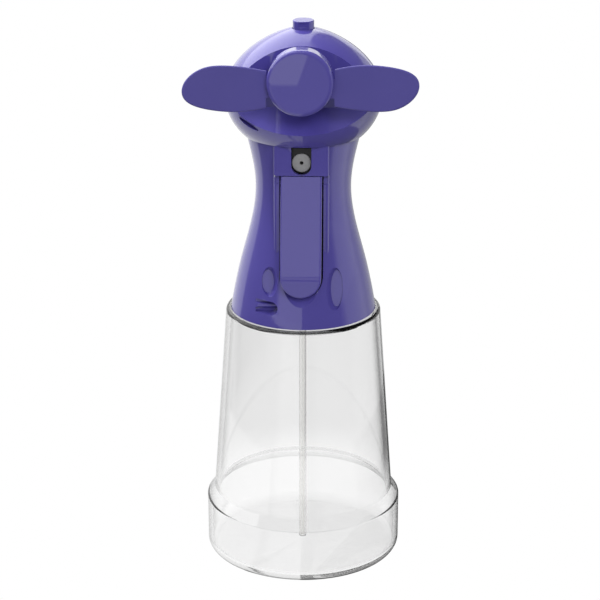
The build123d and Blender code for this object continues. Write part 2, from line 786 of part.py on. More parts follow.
with BuildPart() as dip_tube:
    with BuildSketch(Plane.XY.offset(BOTTLE_FLOOR + TUBE_FOOT_GAP)):
        with Locations((0, -STEM_Y)):
            Circle(TUBE_R)
            Circle(TUBE_BORE_R, mode=Mode.SUBTRACT)
    extrude(amount=tube_top - 0.1 - BOTTLE_FLOOR - TUBE_FOOT_GAP)

# ---------------------------------------------------------------- nozzle and its hose
holder_y = DISC_Y - 0.6
holder_x = SLOT_X - 2 * FIT
pocket_d = 0.7
insert_r = 3.4
insert_back = 11.5
with BuildPart() as nozzle_holder:
    with BuildSketch(Plane.XZ.offset(insert_back + 2.5)):
        with Locations((0, NOZZLE_Z + 0.9)):
            Rectangle(2 * holder_x, 2 * (NOZZLE_Z - PANEL_Z + 0.6))
        with Locations((0, NOZZLE_Z)):
            Circle(insert_r + RUNNING, mode=Mode.SUBTRACT)
    extrude(amount=holder_y - insert_back - 2.5)
    with BuildSketch(Plane.XZ.offset(holder_y - pocket_d)):
        with Locations((0, NOZZLE_Z)):
            Circle(DISC_R + FIT)
    extrude(amount=pocket_d, mode=Mode.SUBTRACT)

with BuildPart() as nozzle_insert:
    with BuildSketch(Plane.XZ.offset(insert_back)):
        with Locations((0, NOZZLE_Z)):
            Circle(insert_r)
            Circle(DISC_HOLE_R + 0.3, mode=Mode.SUBTRACT)
    extrude(amount=holder_y - pocket_d - insert_back)
    with BuildSketch(Plane.XZ.offset(insert_back)):
        with Locations((0, NOZZLE_Z)):
            Circle(TUBE_R + RUNNING)
    extrude(amount=3.0, mode=Mode.SUBTRACT)

with BuildPart() as nozzle_disc:
    with BuildSketch(Plane.XZ.offset(holder_y - pocket_d + 0.02)):
        with Locations((0, NOZZLE_Z)):
            Circle(DISC_R)
            Circle(DISC_HOLE_R, mode=Mode.SUBTRACT)
    extrude(amount=DISC_T)
    fillet(nozzle_disc.edges().group_by(Axis.Y)[0].sort_by(SortBy.RADIUS)[-1], radius=0.35)

with BuildPart() as delivery_hose:
    with BuildLine():
        route = FilletPolyline(
            (0, -STEM_Y, outlet_seat + 2.6),
            (0, -STEM_Y, NOZZLE_Z),
            (0, -insert_back - 2.9, NOZZLE_Z),
            radius=HOSE_BEND,
        )
    with BuildSketch(Plane(origin=route @ 0, z_dir=route % 0)):
        Circle(TUBE_R)
        Circle(TUBE_BORE_R, mode=Mode.SUBTRACT)
    sweep(path=route)

# ---------------------------------------------------------------- battery tray and cells
tray_t = 1.4
tray_front = CELL_Y - CELL_R - FIT - tray_t
cell_low = BASE + CELLS_AT
cell_high = cell_low + CELL_L + CELL_NUB_L
contact_t = 0.4
tray_low = cell_low - 1.0 - contact_t - tray_t
tray_high = cell_high + 0.6 + contact_t + tray_t
with BuildPart() as battery_tray:
    with BuildSketch(Plane.XY.offset(tray_low)):
        with Locations((0, (tray_front + CELL_Y + 4) / 2)):
            Rectangle(2 * WAIST_R, CELL_Y + 4 - tray_front)
    extrude(amount=tray_high - tray_low)
    with BuildSketch(Plane.XY.offset(tray_low + tray_t)):
        with Locations((0, tray_front + tray_t + BIG / 4)):
            Rectangle(BIG, BIG / 2)
    extrude(amount=tray_high - tray_low - 2 * tray_t, mode=Mode.SUBTRACT)
    add(neck_solid(SHELL_WALL + FIT), mode=Mode.INTERSECT)

with BuildPart() as battery_cells:
    for side in (-1, 1):
        with BuildSketch(Plane.XY.offset(cell_low)):
            with Locations((side * CELL_X, CELL_Y)):
                Circle(CELL_R)
        extrude(amount=CELL_L)
    fillet(battery_cells.edges().filter_by(GeomType.CIRCLE), radius=0.6)
    with BuildSketch(Plane.XY.offset(cell_low + CELL_L)):
        with Locations((-CELL_X, CELL_Y)):
            Circle(CELL_NUB_R)
    extrude(amount=CELL_NUB_L)
    with BuildSketch(Plane.XY.offset(cell_low)):
        with Locations((CELL_X, CELL_Y)):
            Circle(CELL_NUB_R)
    extrude(amount=-0.8)

with BuildPart() as battery_contacts:
    with BuildSketch(Plane.XY.offset(tray_low + tray_t)):
        with Locations((0, CELL_Y - 1)):
            Rectangle(2 * CELL_X + 9, 9)
    extrude(amount=contact_t)
    for side in (-1, 1):
        with BuildSketch(Plane.XY.offset(tray_high - tray_t)):
            with Locations((side * CELL_X, CELL_Y - 1)):
                Rectangle(9, 9)
        extrude(amount=-contact_t)

# ---------------------------------------------------------------- head
base_z = NECK_TOP + FIT
base_t = 2.2
rim_in = head_radius(RIM_Z, SHELL_WALL)
head_post_x = 16.4
head_post_y = 8.2
head_posts = [(sx * head_post_x, sy * head_post_y) for sx in (-1, 1) for sy in (-1, 1)]
boss_front = -HUB_L - 0.7
boss_wall = 1.6
boss_in = MOTOR_R + 0.2
boss_out = boss_in + boss_wall
motor_front = boss_front - boss_wall - FIT

flange_t = 1.0
flange_room = 1 - (6.5 / (HEAD_R - SHELL_WALL)) ** HEAD_FULL[1]
flange_top = HEAD_Z + (HEAD_RISE - SHELL_WALL) * flange_room ** (1 / HEAD_FULL[0]) - 0.3
switch_top = flange_top - flange_t - BUTTON_TRAVEL - 0.5
switch_h = 3.2
ear_x = BUTTON_R + 2.4
ear_t = 1.2
ear_top = switch_top - 1.4
with BuildPart() as head_cavity:
    add(head_solid(SHELL_WALL, RIM_Z))
    add(face_notch(SHELL_WALL), mode=Mode.SUBTRACT)
    with BuildSketch(Plane.XY.offset(base_z + base_t + FIT)):
        with Locations(*head_posts):
            Circle(BOSS_R)
    extrude(amount=BIG / 4, mode=Mode.SUBTRACT)
    # two ribs that carry the switch by its ears
    with BuildSketch(Plane.XY.offset(ear_top + RUNNING)):
        with Locations((-ear_x, 0), (ear_x, 0)):
            Rectangle(1.6, 5)
    extrude(amount=HEAD_RISE, mode=Mode.SUBTRACT)

button_hole_r = BUTTON_R + SEAT_GAP
with BuildPart() as head_shell:
    add(head_solid(0, RIM_Z))
    add(face_notch(0), mode=Mode.SUBTRACT)
    # the motor's nose boss stands out of the face
    with BuildSketch(fan_plane.offset(boss_front)):
        Circle(boss_out)
    extrude(amount=-18)
    add(head_cavity.part, mode=Mode.SUBTRACT)
    with BuildSketch(fan_plane.offset(boss_front - boss_wall)):
        Circle(boss_in)
    extrude(amount=-24, mode=Mode.SUBTRACT)
    with BuildSketch(fan_plane.offset(boss_front)):
        Circle(MOTOR_NOSE_R + 0.2)
    extrude(amount=-boss_wall - 1, mode=Mode.SUBTRACT)
    with BuildSketch(Plane.XY.offset(DOME_TOP - 8)):
        Circle(button_hole_r)
    extrude(amount=12, mode=Mode.SUBTRACT)
    # strap slot, under the floor's edge on one side only
    slot_plane = Plane(
        origin=(-22.6, -FACE_Y - 5.8, FACE_Z - 6 * tan(radians(FLOOR_DROP)) - 2.3),
        x_dir=(0.717, -0.585, -0.366),
        z_dir=(-0.69, -0.72, -0.2),
    )
    with BuildSketch(slot_plane):
        Ellipse(STRAP_SLOT_L / 2, STRAP_SLOT_W / 2)
    extrude(amount=4, both=True, mode=Mode.SUBTRACT)
    with BuildSketch(Plane.XY.offset(base_z + base_t)):
        with Locations(*head_posts):
            Circle(SCREW_R + RUNNING)
    extrude(amount=9, mode=Mode.SUBTRACT)

with BuildPart() as head_base:
    with BuildSketch(Plane.XY.offset(base_z)):
        Circle(rim_in - FIT)
        with Locations((0, 4)):
            RectangleRounded(18, 10, 3, mode=Mode.SUBTRACT)
    extrude(amount=base_t)
    spigot_h = 2.4
    spigot_r = neck_radius(NECK_H - spigot_h) - SHELL_WALL - 0.3
    with BuildSketch(Plane.XY.offset(NECK_TOP - spigot_h)):
        Circle(spigot_r)
        Circle(spigot_r - 1.6, mode=Mode.SUBTRACT)
        with Locations((0, -spigot_r)):
            Rectangle(2 * FRAME_X + 1, 16, mode=Mode.SUBTRACT)
    extrude(amount=base_z - NECK_TOP + spigot_h)
    with BuildSketch(Plane.XY.offset(base_z)):
        with Locations(*head_posts):
            Circle(SCREW_R + RUNNING)
    extrude(amount=base_t, mode=Mode.SUBTRACT)

with BuildPart() as head_screws:
    with BuildSketch(Plane.XY.offset(base_z)):
        with Locations(*head_posts):
            Circle(SCREW_HEAD_R)
    extrude(amount=-SCREW_HEAD_H)
    with BuildSketch(Plane.XY.offset(base_z)):
        with Locations(*head_posts):
            Circle(SCREW_R)
    extrude(amount=base_t + 8)

# ---------------------------------------------------------------- button and switch
stem_r = 1.5
with BuildPart() as power_button:
    with BuildSketch(Plane.XY.offset(flange_top - 0.1)):
        Circle(BUTTON_R)
    extrude(amount=DOME_TOP + BUTTON_PROUD - flange_top + 0.1)
    fillet(power_button.edges().group_by(Axis.Z)[-1], radius=0.5)
    with BuildSketch(Plane.XY.offset(flange_top - flange_t)):
        Circle(BUTTON_R + 0.9)
    extrude(amount=flange_t)
    with BuildSketch(Plane.XY.offset(switch_top - 1.0)):
        Circle(stem_r)
    extrude(amount=flange_top - switch_top)
    # a shallow flat on the front
    with BuildSketch(Plane.XZ.offset(BUTTON_R - 0.7)):
        with Locations((0, DOME_TOP + BUTTON_PROUD / 2)):
            Rectangle(5.6, 2.2)
    extrude(amount=3, mode=Mode.SUBTRACT)

with BuildPart() as switch_body:
    with BuildSketch(Plane.XY.offset(switch_top - switch_h)):
        RectangleRounded(9, 9, 0.6)
    extrude(amount=switch_h)
    with BuildSketch(Plane.XY.offset(ear_top - ear_t)):
        Rectangle(2 * ear_x + 1.6, 5)
    extrude(amount=ear_t)
    with BuildSketch(Plane.XY.offset(switch_top - 3.0)):
        Circle(stem_r + 0.2)
    extrude(amount=4, mode=Mode.SUBTRACT)

# ---------------------------------------------------------------- motor and fan
with BuildPart() as motor_can:
    with BuildSketch(fan_plane.offset(motor_front)):
        Circle(MOTOR_R)
        Rectangle(2 * MOTOR_R + 1, 2 * MOTOR_FLAT, mode=Mode.INTERSECT)
    extrude(amount=-MOTOR_L)
    with BuildSketch(fan_plane.offset(motor_front)):
        Circle(MOTOR_NOSE_R)
    extrude(amount=1.6)
    with BuildSketch(fan_plane.offset(motor_front - MOTOR_WALL)):
        Circle(MOTOR_R - MOTOR_WALL)
        Rectangle(2 * MOTOR_R, 2 * (MOTOR_FLAT - MOTOR_WALL), mode=Mode.INTERSECT)
    extrude(amount=-MOTOR_L, mode=Mode.SUBTRACT)
    with BuildSketch(fan_plane.offset(motor_front + 3)):
        Circle(SHAFT_R + RUNNING)
    extrude(amount=-MOTOR_L - 6, mode=Mode.SUBTRACT)

magnet_in = MOTOR_FLAT - MOTOR_WALL + 0.5
with BuildPart() as motor_magnets:
    with BuildSketch(fan_plane.offset(motor_front - MOTOR_WALL - 3)):
        Circle(MOTOR_R - MOTOR_WALL - RUNNING)
        Circle(magnet_in, mode=Mode.SUBTRACT)
        Rectangle(2 * MOTOR_R, MOTOR_FLAT, mode=Mode.INTERSECT)
    extrude(amount=-MOTOR_L + 10)

with BuildPart() as motor_armature:
    with BuildSketch(fan_plane.offset(motor_front - MOTOR_WALL - 3)):
        Circle(magnet_in - 0.6)
        Circle(SHAFT_R, mode=Mode.SUBTRACT)
        with PolarLocations(magnet_in, 3):
            Rectangle(6, 1.6, mode=Mode.SUBTRACT)
    extrude(amount=-MOTOR_L + 10)

with BuildPart() as motor_end_cap:
    with BuildSketch(fan_plane.offset(motor_front - MOTOR_L)):
        Circle(MOTOR_R - 0.6)
        Rectangle(2 * MOTOR_R + 1, 2 * MOTOR_FLAT - 1, mode=Mode.INTERSECT)
        Circle(SHAFT_R + RUNNING, mode=Mode.SUBTRACT)
    extrude(amount=-MOTOR_CAP)
    with BuildSketch(fan_plane.offset(motor_front - MOTOR_L - MOTOR_CAP)):
        with Locations((-6, 0), (6, 0)):
            Rectangle(2.2, 1.0)
    extrude(amount=-2.5)

with BuildPart() as motor_shaft:
    with BuildSketch(fan_plane.offset(motor_front - MOTOR_L - MOTOR_CAP + 0.5)):
        Circle(SHAFT_R)
    extrude(amount=-motor_front + MOTOR_L + MOTOR_CAP - 0.5 - 3.0)

terminal_w = motor_front - MOTOR_L - MOTOR_CAP - 2.5
terminal = fan_plane.from_local_coords((6.0, 0, terminal_w))
lead_y = CELL_Y - 3
switch_low = switch_top - switch_h
lead_routes = {
    "lead_negative": [
        (6, lead_y, tray_high),
        (6, lead_y, terminal.Z),
        (6, terminal.Y + RUNNING, terminal.Z),
    ],
    "lead_positive": [
        (-6, lead_y, tray_high),
        (-6, lead_y, switch_low - 3),
        (-3, 3, switch_low - 3),
        (-3, 3, switch_low),
    ],
    "lead_switch": [
        (3, 3, switch_low),
        (3, 3, terminal.Z + 4),
        (-6, 3, terminal.Z + 4),
        (-6, 3, terminal.Z),
        (-6, terminal.Y + RUNNING, terminal.Z),
    ],
}
leads = {}
for name, stops in lead_routes.items():
    with BuildPart() as lead:
        with BuildLine():
            run = FilletPolyline(*stops, radius=LEAD_R * 1.6)
        with BuildSketch(Plane(origin=run @ 0, z_dir=run % 0)):
            Circle(LEAD_R)
        sweep(path=run)
    leads[name] = lead

with BuildPart() as fan_hub:
    with BuildSketch(fan_plane.offset(-HUB_L)):
        Circle(HUB_R)
    extrude(amount=HUB_L)
    fillet(fan_hub.edges().group_by(Axis.Y)[0], radius=HUB_EDGE)
    with BuildSketch(fan_plane.offset(-HUB_L)):
        Circle(HUB_R - HUB_WALL)
        Circle(MOTOR_NOSE_R, mode=Mode.SUBTRACT)
    extrude(amount=HUB_L - 2.4, mode=Mode.SUBTRACT)
    with BuildSketch(fan_plane.offset(-HUB_L)):
        Circle(SHAFT_R)
    extrude(amount=HUB_L - 3.0, mode=Mode.SUBTRACT)

BLADE_OUTLINE = [
    (14.6, 8.3),
    (21.5, 9.7),
    (29.5, 10.2),
    (36.5, 9.7),
    (43.0, 8.5),
    (47.6, 6.6),
    (49.8, 4.4),
    (50.5, 1.9),
    (50.0, -1.0),
    (48.0, -4.1),
    (44.2, -7.1),
    (39.6, -8.9),
    (34.5, -9.5),
    (29.0, -9.4),
    (22.0, -8.7),
    (14.6, -7.5),
]
blades = []
for side in (1, -1):
    blade_plane = Plane(
        origin=fan_plane.from_local_coords((0, -BLADE_DROP, -BLADE_BACK)),
        x_dir=(side, 0, 0),
        z_dir=fan_plane.z_dir,
    )
    blade_plane = blade_plane.rotated((-BLADE_PITCH, 0, 0))
    with BuildPart() as blade:
        with BuildSketch(blade_plane):
            with BuildLine():
                edge = Spline(*BLADE_OUTLINE)
                Line(edge @ 1, edge @ 0)
            make_face()
        extrude(amount=BLADE_T / 2, both=True)
        fillet(blade.faces().sort_by(SortBy.AREA)[-2:].edges()
               .filter_by(GeomType.LINE, reverse=True), radius=BLADE_T * 0.4)
        with BuildSketch(blade_plane):
            with Locations(((HUB_R - HUB_WALL - 1 + 15.6) / 2, 0)):
                Rectangle(15.6 - HUB_R + HUB_WALL + 1, TAB_W)
        extrude(amount=BLADE_T / 2, both=True)
    blades.append(blade)
    with fan_hub:
        with BuildSketch(blade_plane):
            with Locations((HUB_R, 0)):
                Rectangle(8, TAB_W + 2 * RUNNING)
        extrude(amount=BLADE_T / 2 + RUNNING, both=True, mode=Mode.SUBTRACT)
fan_blade_left, fan_blade_right = blades[1], blades[0]

# ---------------------------------------------------------------- write each piece
pieces = {
    "reservoir_bottle": reservoir_bottle,
    "bottle_collar": bottle_collar,
    "bottle_gasket": bottle_gasket,
    "collar_screws": collar_screws,
    "neck_front_shell": neck_front_shell,
    "nozzle_bezel": nozzle_bezel,
    "neck_rear_shell": neck_rear_shell,
    "battery_door": battery_door,
    "shell_screws": shell_screws,
    "trigger": trigger,
    "trigger_pin": trigger_pin,
    "pump_cylinder": pump_cylinder,
    "pump_cap": pump_cap,
    "piston": piston,
    "piston_seal": piston_seal,
    "piston_spring": piston_spring,
    "valve_balls": valve_balls,
    "dip_tube": dip_tube,
    "nozzle_holder": nozzle_holder,
    "nozzle_insert": nozzle_insert,
    "nozzle_disc": nozzle_disc,
    "delivery_hose": delivery_hose,
    "battery_tray": battery_tray,
    "battery_cells": battery_cells,
    "battery_contacts": battery_contacts,
    "head_shell": head_shell,
    "head_base": head_base,
    "head_screws": head_screws,
    "power_button": power_button,
    "switch_body": switch_body,
    "motor_can": motor_can,
    "motor_magnets": motor_magnets,
    "motor_end_cap": motor_end_cap,
    "motor_armature": motor_armature,
    "motor_shaft": motor_shaft,
    "fan_hub": fan_hub,
    "fan_blade_left": fan_blade_left,
    "fan_blade_right": fan_blade_right,
    **leads,
}
for name, piece in pieces.items():
    piece.part.label = name
    export_step(piece.part, f"parts/{name}.step")
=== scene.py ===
"""Looks of the hand-held misting fan: finishes for every node, a soft studio and the camera."""

import json
import math

import bpy
from mathutils import Euler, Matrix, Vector

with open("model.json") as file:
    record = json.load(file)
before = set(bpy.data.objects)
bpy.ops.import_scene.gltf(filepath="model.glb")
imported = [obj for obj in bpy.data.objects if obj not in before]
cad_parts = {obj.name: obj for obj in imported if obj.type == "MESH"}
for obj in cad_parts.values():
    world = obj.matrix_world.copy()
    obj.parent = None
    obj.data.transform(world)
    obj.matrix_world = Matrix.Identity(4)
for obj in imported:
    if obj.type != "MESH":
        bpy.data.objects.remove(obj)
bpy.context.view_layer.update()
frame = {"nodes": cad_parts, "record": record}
nodes = frame["nodes"]


# ---------------------------------------------------------------- material helpers
CLEAR_IOR = 1.47
CLEAR_ROUGH = (0.004, 0.02)
# painted shade: clear faces grey in their colour as they turn away from view, standing in for the
# dark edges that bent light gives
PAINTED_EDGE_SHADE_RANGE = (0.60, 0.94)      # how far a clear face turns away where it starts and ends greying


class Nodes:
    """A short way to add and join shader nodes in one tree."""

    def __init__(self, tree):
        self.tree = tree
        tree.nodes.clear()

    def add(self, kind, inputs=None, **settings):
        node = self.tree.nodes.new(kind)
        for name, value in settings.items():
            setattr(node, name, value)
        for name, value in (inputs or {}).items():
            if isinstance(value, bpy.types.NodeSocket):
                self.tree.links.new(value, node.inputs[name])
            else:
                node.inputs[name].default_value = value
        return node

    def join(self, out, into):
        self.tree.links.new(out, into)


def mottle(n, scale, detail=3.0, rough=0.5):
    """Soft noise in object space, 0 to 1."""
    place = n.add("ShaderNodeTexCoord")
    return n.add(
        "ShaderNodeTexNoise",
        {"Vector": place.outputs["Object"], "Scale": scale, "Detail": detail, "Roughness": rough},
    ).outputs["Fac"]


def spread(n, fac, low, high, start=0.3, end=0.7):
    """Noise mapped to a range of numbers."""
    return n.add(
        "ShaderNodeMapRange",
        {"Value": fac, "From Min": start, "From Max": end, "To Min": low, "To Max": high},
    ).outputs["Result"]


def past(n, value, start, end):
    """0 before the start, 1 after the end and smooth between."""
    return n.add(
        "ShaderNodeMapRange", {"Value": value, "From Min": start, "From Max": end},
        interpolation_type="SMOOTHSTEP",
    ).outputs["Result"]


def tint(n, fac, dark, light):
    """A run between two colours, either of which may come from another node."""
    mix = n.add("ShaderNodeMix", {"Factor": fac}, data_type="RGBA")
    for name, colour in (("A", dark), ("B", light)):
        if isinstance(colour, bpy.types.NodeSocket):
            n.join(colour, mix.inputs[name])
        else:
            mix.inputs[name].default_value = (*colour, 1)
    return mix.outputs["Result"]


def moulded(name, dark, light, rough=(0.28, 0.36), grain=2600.0, grain_depth=0.02, flow=35.0,
            coat=0.0, coat_rough=0.08, specular=0.5, metallic=0.0, sheen=0.0, wave=0.02):
    """A moulded or plated finish: slow flow in the colour, uneven gloss and a fine grain."""
    mat = bpy.data.materials.new(name)
    mat.use_nodes = True
    n = Nodes(mat.node_tree)
    slow = mottle(n, flow, 2.0)
    fine = mottle(n, grain, 2.0, 0.6)
    soft = mottle(n, 9.0, 2.0)
    bump = n.add("ShaderNodeBump", {"Height": fine, "Strength": grain_depth, "Distance": 0.0002})
    bump = n.add(
        "ShaderNodeBump",
        {"Height": soft, "Strength": wave, "Distance": 0.002, "Normal": bump.outputs["Normal"]},
    )
    shader = n.add(
        "ShaderNodeBsdfPrincipled",
        {
            "Base Color": tint(n, slow, dark, light),
            "Roughness": spread(n, mottle(n, 120.0), *rough, start=0.2, end=0.8),
            "Normal": bump.outputs["Normal"],
            "Metallic": metallic,
            "Specular IOR Level": specular,
            "Coat Weight": coat,
            "Coat Roughness": coat_rough,
            "Sheen Weight": sheen,
        },
    )
    out = n.add("ShaderNodeOutputMaterial")
    n.join(shader.outputs["BSDF"], out.inputs["Surface"])
    return mat


def brushed(name, dark, light, stretch=(1.0, 1.0, 12.0), rough=(0.22, 0.4)):
    """Plated or drawn metal, with fine lines along one way."""
    mat = bpy.data.materials.new(name)
    mat.use_nodes = True
    n = Nodes(mat.node_tree)
    place = n.add("ShaderNodeTexCoord")
    drawn = n.add("ShaderNodeMapping", {"Vector": place.outputs["Object"], "Scale": stretch})
    lines = n.add(
        "ShaderNodeTexNoise", {"Vector": drawn.outputs["Vector"], "Scale": 900.0, "Detail": 4.0}
    ).outputs["Fac"]
    bump = n.add("ShaderNodeBump", {"Height": lines, "Strength": 0.12, "Distance": 0.0002})
    shader = n.add(
        "ShaderNodeBsdfPrincipled",
        {
            "Base Color": tint(n, lines, dark, light),
            "Roughness": spread(n, lines, *rough),
            "Normal": bump.outputs["Normal"],
            "Metallic": 1.0,
        },
    )
    out = n.add("ShaderNodeOutputMaterial")
    n.join(shader.outputs["BSDF"], out.inputs["Surface"])
    return mat


def clear_plastic(name, tone_low, tone_high, painted_edge_shade, murk, sway):
    """Clear moulded plastic: a slow ripple, grey where it is thick, and painted shade that greys its
    colour where a face turns away from view.
    """
    mat = bpy.data.materials.new(name)
    mat.use_nodes = True
    n = Nodes(mat.node_tree)
    ripple = mottle(n, 14.0, 1.0)
    bump = n.add("ShaderNodeBump", {"Height": ripple, "Strength": sway, "Distance": 0.002})
    turned = n.add("ShaderNodeLayerWeight", {"Blend": 0.5}).outputs["Facing"]
    face = tint(n, mottle(n, 20.0, 2.0), tone_low, tone_high)
    shader = n.add(
        "ShaderNodeBsdfPrincipled",
        {
            # painted shade: the colour runs to a dark grey towards the turned edges
            "Base Color": tint(n, past(n, turned, *PAINTED_EDGE_SHADE_RANGE), face, (painted_edge_shade, painted_edge_shade, painted_edge_shade)),
            "Roughness": spread(n, mottle(n, 60.0), *CLEAR_ROUGH),
            "Normal": bump.outputs["Normal"],
            "Transmission Weight": 1.0,
            "IOR": CLEAR_IOR,
        },
    )
    out = n.add("ShaderNodeOutputMaterial")
    inside = n.add("ShaderNodeVolumeAbsorption", {"Color": (0, 0, 0, 1), "Density": murk})
    n.join(inside.outputs[0], out.inputs["Volume"])
    n.join(shader.outputs["BSDF"], out.inputs["Surface"])
    return mat


# ---------------------------------------------------------------- finishes
looks = {
    "clear_plastic": clear_plastic(
        # the edge grey here is painted shade at the bottle's turned faces
        "clear_plastic", (0.985, 0.985, 0.985), (1.0, 1.0, 1.0), painted_edge_shade=0.22, murk=16.0, sway=0.015,
    ),
    "purple_shell": moulded(
        "purple_shell", (0.070, 0.057, 0.300), (0.080, 0.065, 0.325), rough=(0.38, 0.46),
        grain_depth=0.01, coat=1.0, coat_rough=0.05, specular=0.2,
    ),
    "purple_hub": moulded(
        "purple_hub", (0.072, 0.060, 0.300), (0.084, 0.070, 0.330), rough=(0.38, 0.46),
        grain_depth=0.01, coat=1.0, coat_rough=0.006, specular=0.2,
    ),
    "soft_blade": moulded(
        "soft_blade", (0.064, 0.054, 0.250), (0.076, 0.064, 0.290), rough=(0.48, 0.6),
        grain=1800.0, grain_depth=0.03, sheen=0.05,
    ),
    "grey_plastic": moulded("grey_plastic", (0.20, 0.205, 0.215), (0.26, 0.265, 0.275)),
    "white_plastic": moulded("white_plastic", (0.66, 0.66, 0.65), (0.76, 0.76, 0.75)),
    "dark_plastic": moulded("dark_plastic", (0.006, 0.006, 0.007), (0.012, 0.012, 0.014)),
    "seal_rubber": moulded(
        "seal_rubber", (0.010, 0.010, 0.011), (0.022, 0.022, 0.023), rough=(0.6, 0.75),
        grain=700.0, grain_depth=0.12,
    ),
    "magnet_grey": moulded(
        "magnet_grey", (0.030, 0.030, 0.032), (0.060, 0.060, 0.062), rough=(0.6, 0.75),
    ),
    "copper_winding": moulded(
        "copper_winding", (0.30, 0.10, 0.035), (0.46, 0.18, 0.06), rough=(0.3, 0.45), flow=400.0,
        metallic=0.9,
    ),
    "cell_sleeve": moulded(
        "cell_sleeve", (0.018, 0.022, 0.030), (0.034, 0.040, 0.052), coat=0.5, coat_rough=0.06,
    ),
    "clear_hose": moulded(
        "clear_hose", (0.50, 0.53, 0.55), (0.60, 0.63, 0.65), rough=(0.3, 0.4), coat=0.3,
    ),
    "lead_black": moulded("lead_black", (0.010, 0.010, 0.010), (0.020, 0.020, 0.020)),
    "lead_red": moulded("lead_red", (0.22, 0.012, 0.012), (0.32, 0.020, 0.018)),
    "steel": brushed("steel", (0.46, 0.46, 0.48), (0.66, 0.66, 0.68)),
    "motor_steel": brushed("motor_steel", (0.40, 0.40, 0.41), (0.58, 0.58, 0.59),
                           stretch=(1.0, 10.0, 1.0)),
}
slots = {row["node"]: row["material_slot"] for row in frame["record"]["subparts"]}
# three pieces look unlike the rest of their slot
special = {
    # the edge grey here is painted shade at the tube's turned faces
    "dip_tube": clear_plastic(
        "dip_tube_plastic", (0.95, 0.95, 0.94), (0.98, 0.98, 0.97), painted_edge_shade=0.30, murk=45.0, sway=0.002,
    ),
    # the pin is near-black as painted shade: its ends show in the small notches beside the trigger,
    # which sit in shadow
    "trigger_pin": moulded("pin_painted_shade", (0.010, 0.009, 0.014), (0.018, 0.016, 0.024), coat=0.0),
    "nozzle_disc": moulded("nozzle_disc_grey", (0.27, 0.27, 0.27), (0.36, 0.36, 0.36), flow=900.0),
}
for node, slot in slots.items():
    thing = bpy.data.objects[node]
    thing.data.materials.clear()
    thing.data.materials.append(special.get(node, looks[slot]))

# ---------------------------------------------------------------- floor, world and lamps
# Panels round the object, as (from, to, softness, level): bearings in degrees, 0 behind it,
# positive to its right. Polished plastic mirrors those of the sky and of the floor, and the
# bottle bends its light from SEEN_THROUGH. The gap in it on the right, from 34 to 110 degrees,
# darkens the bottle's right edge from the front, and greys the whole bottle from its left side.
MIRRORED_ABOVE = [(-68, -5, 2, 1.1), (-5, 20, 3, 1.0), (20, 62, 8, 0.6), (62, 112, 8, 1.0),
                  (-190, -140, 5, 1.2)]
MIRRORED_HIGH = [(-120, 12, 3, 2.6)]
MIRRORED_BELOW = [(-68, 0, 2, 0.9), (10, 62, 8, 0.45), (62, 110, 8, 0.9)]
MIRRORED_FAR = MIRRORED_BELOW + [(-190, -150, 8, 0.3)]
MIRRORED_NEAR = [(-143, -10, 2, 0.85)]
MIRRORED_AHEAD = [(-190, -150, 5, 1.0)]
SEEN_THROUGH = [(-210, 34, 5, 0.6), (110, 160, 5, 0.6)]
BETWEEN_MIRRORED = 0.12         # level between the mirrored panels
BETWEEN_SEEN = 0.3              # and between those seen through the bottle

# Where one set gives way to the next: distances over the floor, in metres from the axis
NEAR_ENDS = (0.23, 0.25)
FAR_STARTS = (0.95, 1.3)
SKYLINE = (3.5, 7.0)
AHEAD_INNER_ENDS = (0.66, 0.60)
AHEAD_OUTER_STARTS = (0.76, 0.84)
AHEAD_OUTER_ENDS = (1.75, 1.5)
AHEAD_LEVEL = 0.95
CARD_FRONT, CARD_SIDE, CARD_LEVEL = (-2.10, -2.16), (-0.080, -0.084), 1.5
FOOT_ENDS, FOOT_LEVEL = (0.09, 0.15), 1.06

# and, in the sky, heights of the direction, 0 at the horizon and 1 straight up
HIGH_STARTS = (0.28, 0.34)
OVERHEAD_STARTS, OVERHEAD_RIGHT = (0.84, 0.92), (0.0, 0.25)
OVERHEAD_LEVELS = (2.0, 0.2)
ZENITH_STARTS, ZENITH_LEVEL = (0.95, 0.97), 0.15
BENT_UP_STARTS, BENT_UP_LEVEL = (0.16, 0.26), 0.03

WORLD_LEVEL = 0.60
FLOOR_REACH = 6.0
FLOOR_TONE = 0.35


def combined(n, operation, one, other):
    """One number from two."""
    return n.add("ShaderNodeMath", {0: one, 1: other}, operation=operation).outputs[0]


def panels(n, bearing, rows, base=BETWEEN_MIRRORED):
    """Brightness round the object: each panel between its two bearings, over a base level."""
    total = base
    for low, high, soft, level in rows:
        low, high, soft = (math.radians(v) for v in (low, high, soft))
        rise = n.add(
            "ShaderNodeMapRange",
            {"Value": bearing, "From Min": low - soft, "From Max": low + soft},
            interpolation_type="SMOOTHSTEP",
        )
        fall = n.add(
            "ShaderNodeMapRange",
            {"Value": bearing, "From Min": high - soft, "From Max": high + soft,
             "To Min": level, "To Max": 0.0},
            interpolation_type="SMOOTHSTEP",
        )
        lit = combined(n, "MULTIPLY", rise.outputs["Result"], fall.outputs["Result"])
        total = combined(n, "ADD", lit, total)
    return total


def blended(n, fac, one, other):
    """One level where the factor is 0 and the other where it is 1."""
    mix = n.add("ShaderNodeMix", {"Factor": fac}, data_type="FLOAT")
    for name, value in (("A", one), ("B", other)):
        if isinstance(value, float):
            mix.inputs[name].default_value = value
        else:
            n.join(value, mix.inputs[name])
    return mix.outputs["Result"]


